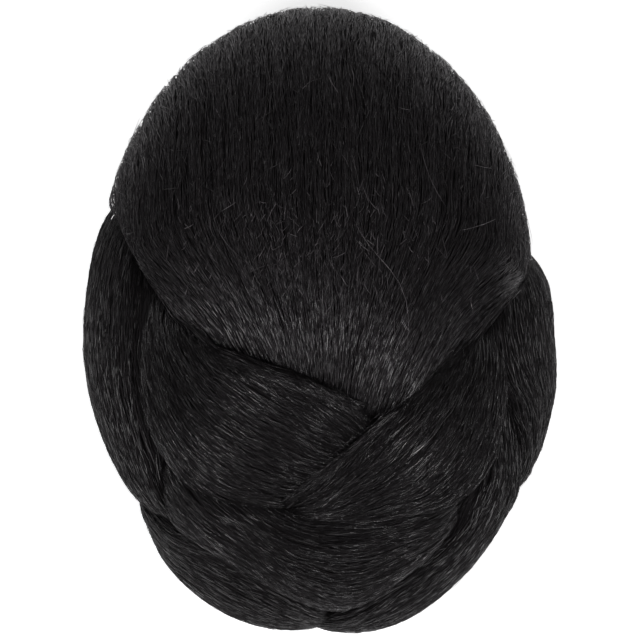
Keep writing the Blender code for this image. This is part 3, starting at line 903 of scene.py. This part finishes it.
def lock_body(name, material):
    """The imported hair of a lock: a copy of its solid, made smooth and sunk a little under the strands."""
    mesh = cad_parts[name].data.copy()
    piece = bpy.data.objects.new(name.replace("_lock", "_mass"), mesh)
    bpy.context.collection.objects.link(piece)
    lone_selection(piece)
    bpy.ops.object.mode_set(mode="EDIT")
    bpy.ops.mesh.select_all(action="SELECT")
    bpy.ops.mesh.remove_doubles(threshold=MASS_WELD)
    bpy.ops.object.mode_set(mode="OBJECT")
    apply_change(piece, "REMESH", {"mode": "VOXEL", "voxel_size": MASS_VOXEL})
    apply_change(piece, "SMOOTH", MASS_SMOOTHING)
    places = np.empty(len(piece.data.vertices) * 3)
    normals = np.empty(len(piece.data.vertices) * 3, dtype=np.float32)
    piece.data.vertices.foreach_get("co", places)
    piece.data.vertex_normals.foreach_get("vector", normals)
    places, normals = places.reshape(-1, 3), normals.reshape(-1, 3)
    facing = (normals * ways_out(places)).sum(1)
    sunk = MASS_SUNK * (1 - MASS_SIDE_RELIEF * (1 - normals[:, 2] ** 2))
    sunk = sunk * np.clip(facing * FACING_GAIN - FACING_OFFSET, 0, 1)
    shift = MASS_SWOLLEN * np.clip(1 - np.abs(facing) / SIDE_FACING, 0, 1) - sunk
    places += normals * shift[:, None]
    places[:, 2] = np.maximum(places[:, 2], MASS_FOOT)
    piece.data.vertices.foreach_set("co", places.ravel())
    piece.data.update()
    piece.data.shade_smooth()
    piece.data.materials.clear()
    piece.data.materials.append(material)
    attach(piece, "root")
    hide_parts(name)


def clip_finish():
    """Half-gloss black plastic with the faint unevenness of a moulding."""
    finish = Finish("black_moulded_plastic", {"Specular IOR Level": 0.5})
    place = finish.node("ShaderNodeTexCoord", output=3)
    cloud = finish.node("ShaderNodeTexNoise", {}, {"Vector": place, **CLIP_CLOUD})
    grain = finish.node("ShaderNodeTexNoise", {}, {"Vector": place, **CLIP_GRAIN})
    finish.feed("Base Color", finish.node("ShaderNodeValToRGB", {"stops": CLIP_BLACKS}, {"Fac": cloud}))
    finish.feed("Roughness", CLIP_ROUGHNESS[0] + CLIP_ROUGHNESS[1] * cloud)
    height = cloud * CLOUD_SHARE + grain * GRAIN_SHARE
    finish.feed("Normal", finish.node("ShaderNodeBump", {}, {"Height": height, **CLIP_RELIEF}))
    return finish.material


def clip_plate(name, columns, rows, place, between):
    """A bent plate of the clip from a flat grid: the faces that between picks are cut away, the rest is bent
    to its place, and the plate gets its thickness and softened edges."""
    bpy.ops.mesh.primitive_grid_add(x_subdivisions=columns, y_subdivisions=rows, size=2)
    plate = bpy.context.object
    plate.name = name
    bpy.ops.object.mode_set(mode="EDIT")
    bpy.ops.mesh.select_mode(type="FACE")
    bpy.ops.mesh.select_all(action="DESELECT")
    bpy.ops.object.mode_set(mode="OBJECT")
    for face in plate.data.polygons:
        column = int((face.center.x + 1) / 2 * columns)
        row = int((face.center.y + 1) / 2 * rows)
        face.select = between(column, row)
    bpy.ops.object.mode_set(mode="EDIT")
    bpy.ops.mesh.delete(type="FACE")
    bpy.ops.object.mode_set(mode="OBJECT")
    for vert in plate.data.vertices:
        vert.co = place(round((vert.co.x + 1) / 2 * columns), round((vert.co.y + 1) / 2 * rows))
    apply_change(plate, "SOLIDIFY", {"thickness": CLIP_PLATE, "offset": 0, "use_even_offset": True})
    bpy.ops.object.mode_set(mode="EDIT")
    bpy.ops.mesh.select_all(action="SELECT")
    bpy.ops.mesh.normals_make_consistent(inside=False)
    bpy.ops.object.mode_set(mode="OBJECT")
    apply_change(plate, "BEVEL", {"width": CLIP_EDGE, "segments": PLATE_EDGE_STEPS,
                                  "limit_method": "ANGLE", "angle_limit": SHARP_EDGE})
    return plate


def clip_jaw(name, side):
    """One curved jaw of the clip, with tapered teeth."""
    pitch = CLIP_LENGTH / TEETH

    def place(column, row):
        turn = math.pi * row / JAW_ROWS
        drop = (1 - math.cos(turn)) / 2
        across = side * (CLIP_WIDTH / 2 * math.sin(turn) ** JAW_FULLNESS + CLIP_TIP_GAP / 2 * drop)
        level = BARREL_LEVEL - (BARREL_LEVEL - CLIP_TIP_LEVEL) * drop
        tooth, edge = divmod(column, 2)
        taper = max(row - JAW_PLATE_ROWS, 0) / (JAW_ROWS - JAW_PLATE_ROWS)
        half = pitch / 2 * TOOTH_SHARE * (1 - (1 - TOOTH_TIP_SHARE) * taper)
        middle = (tooth + 0.5 - TEETH / 2 + TOOTH_STAGGER_SHARE * side) * pitch
        return across, middle + (half if edge else -half), level

    return clip_plate(name, 2 * TEETH - 1, JAW_ROWS, place,
                      lambda column, row: row >= JAW_PLATE_ROWS and column % 2)


def clip_lever(name, side):
    """One finger lever of the clip, up to the hollow's front wall."""

    def place(column, row):
        along = LEVER_LENGTH * (column / LEVER_COLUMNS - 0.5)
        share = ((LEVER_SPREAD + CLIP_PLATE) / (HOLLOW_WIDTH / 2)) ** 2 + (along / (HOLLOW_LENGTH / 2)) ** 2
        wall = WIDEST_LEVEL + HOLLOW_RISE * math.sqrt(1 - share)
        top = wall - CLIP_CLEARANCE - CLIP_PLATE * LEVER_SEAT_SHARE
        return (side * LEVER_SPREAD * row / LEVER_ROWS, along,
                BARREL_LEVEL + (top - BARREL_LEVEL) * row / LEVER_ROWS)

    return clip_plate(name, LEVER_COLUMNS, LEVER_ROWS, place, lambda column, row: False)


def add_clip(material):
    """The claw clip as one moulding: a barrel with softened ends, two jaws and two levers."""
    bpy.ops.mesh.primitive_cylinder_add(vertices=BARREL_SIDES, radius=BARREL_RADIUS, depth=CLIP_LENGTH,
                                        location=(0, 0, BARREL_LEVEL), rotation=(math.pi / 2, 0, 0))
    clip = bpy.context.object
    clip.name = "clip_moulding"
    bpy.ops.object.transform_apply(location=True, rotation=True, scale=True)
    apply_change(clip, "BEVEL", {"width": CLIP_EDGE * 2, "segments": BARREL_EDGE_STEPS,
                                 "limit_method": "ANGLE", "angle_limit": SHARP_EDGE})
    for side, word in ((-1, "left"), (1, "right")):
        for form in (clip_jaw(word + "_jaw_form", side), clip_lever(word + "_lever_form", side)):
            apply_change(clip, "BOOLEAN", {"operation": "UNION", "solver": "EXACT", "object": form})
            bpy.data.objects.remove(form)
    lone_selection(clip)
    bpy.ops.object.shade_smooth_by_angle(angle=SMOOTH_EDGE)
    clip.data.materials.clear()
    clip.data.materials.append(material)
    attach(clip, "root")
    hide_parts("claw_clip")


def add_floor():
    """A plain pale floor under the bun."""
    bpy.ops.mesh.primitive_plane_add(size=FLOOR_SIZE, location=(0, 0, 0))
    floor = bpy.context.object
    floor.name = "floor"
    finish = Finish("pale_floor", {"Base Color": (FLOOR_PALE, FLOOR_PALE, FLOOR_PALE, 1), "Roughness": 0.9,
                                   "Specular IOR Level": 0.1, "Emission Color": (1, 1, 1, 1),
                                   "Emission Strength": FLOOR_GLOW})
    floor.data.materials.append(finish.material)


def add_lights():
    """Soft studio light: two boxes over the lower front, left and right, two dimmer ones low at its sides,
    a dim panel past the top, and a dim room."""
    world = bpy.data.worlds.new("room")
    world.use_nodes = True
    world.node_tree.nodes["Background"].inputs["Color"].default_value = (1, 1, 1, 1)
    world.node_tree.nodes["Background"].inputs["Strength"].default_value = ROOM_LIGHT
    bpy.context.scene.world = world
    for name, way, width, length, power in STUDIO_LIGHTS:
        light = bpy.data.lights.new(name, "AREA")
        light.shape = "RECTANGLE"
        light.size = width
        light.size_y = length
        light.energy = power
        box = bpy.data.objects.new(name, light)
        bpy.context.collection.objects.link(box)
        aim = Vector(way).normalized()
        box.location = aim * LIGHT_DISTANCE
        box.rotation_euler = aim.to_track_quat("Z", "Y").to_euler()


def add_camera():
    """The camera straight over the front face, with the bun's top up in the picture."""
    lens = bpy.data.cameras.new("camera")
    lens.sensor_width = SENSOR_WIDTH
    picture_width = PICTURE_PIXELS * METRES_A_PIXEL
    lens.lens = lens.sensor_width * CAMERA_DISTANCE / picture_width
    lens.clip_start = NEAREST_SEEN
    camera = bpy.data.objects.new("camera", lens)
    camera.location = (0, 0, WIDEST_LEVEL + CAMERA_DISTANCE)
    bpy.context.collection.objects.link(camera)
    bpy.context.scene.camera = camera


for picked in list(bpy.context.selected_objects):
    picked.select_set(False)
bpy.context.scene.view_settings.view_transform = "Standard"
# (name, specular, roughness, smoother, shine, gloss, dash_rate)
crown_blacks = {
    "under": strand_finish("black_crown_under_hair", 0.32, 0.50, 0.12, 0.0),
    "middle": strand_finish("black_crown_middle_hair", 0.50, 0.44, 0.14, 0.4),
    "over": strand_finish("black_crown_over_hair", 0.42, 0.40, 0.14, 1.0),
}
crossing_blacks = {
    "under": strand_finish("black_crossing_under_hair", 0.22, 0.46, 0.12, 0.0),
    "middle": strand_finish("black_crossing_middle_hair", 0.34, 0.40, 0.14, 0.5, 0.24, 190.0),
    "over": strand_finish("black_crossing_over_hair", 0.34, 0.36, 0.14, 1.0, 0.22, 190.0),
}
outer_blacks = {
    "under": strand_finish("black_outer_under_hair", 0.25, 0.54, 0.08, 0.0),
    "middle": strand_finish("black_outer_middle_hair", 0.28, 0.50, 0.12, 0.3, 0.32, 220.0),
    "over": strand_finish("black_outer_over_hair", 0.20, 0.46, 0.14, 0.9, 0.30, 220.0),
}
mass_black = body_finish()
crown_tree = crown_surface()
for number, lock in enumerate(LOCKS):
    lock_body(lock, mass_black)
    if lock in OUTER_LOCKS:
        blacks = outer_blacks
    else:
        blacks = crossing_blacks if lock in CROSSING_LOCKS else crown_blacks
    for layer_number, layer_name in enumerate(LAYERS):
        seed = SEEDS_A_LOCK * number + layer_number
        comb_layer(lock, layer_name, seed, crown_tree, blacks[layer_name])
# The loose hairs get the paler black, a painted highlight
add_loose_hairs(crown_tree, strand_finish("black_loose_hair_painted_highlight", 1.0, 0.45, 0.10, 1.0, 0.34, 190.0, LOOSE_PAINTED_HIGHLIGHT_BLACK))
add_rim_fuzz(crown_tree, outer_blacks["middle"])
add_seam_hairs(crossing_blacks["middle"])
add_clip(clip_finish())
add_floor()
add_lights()
add_camera()
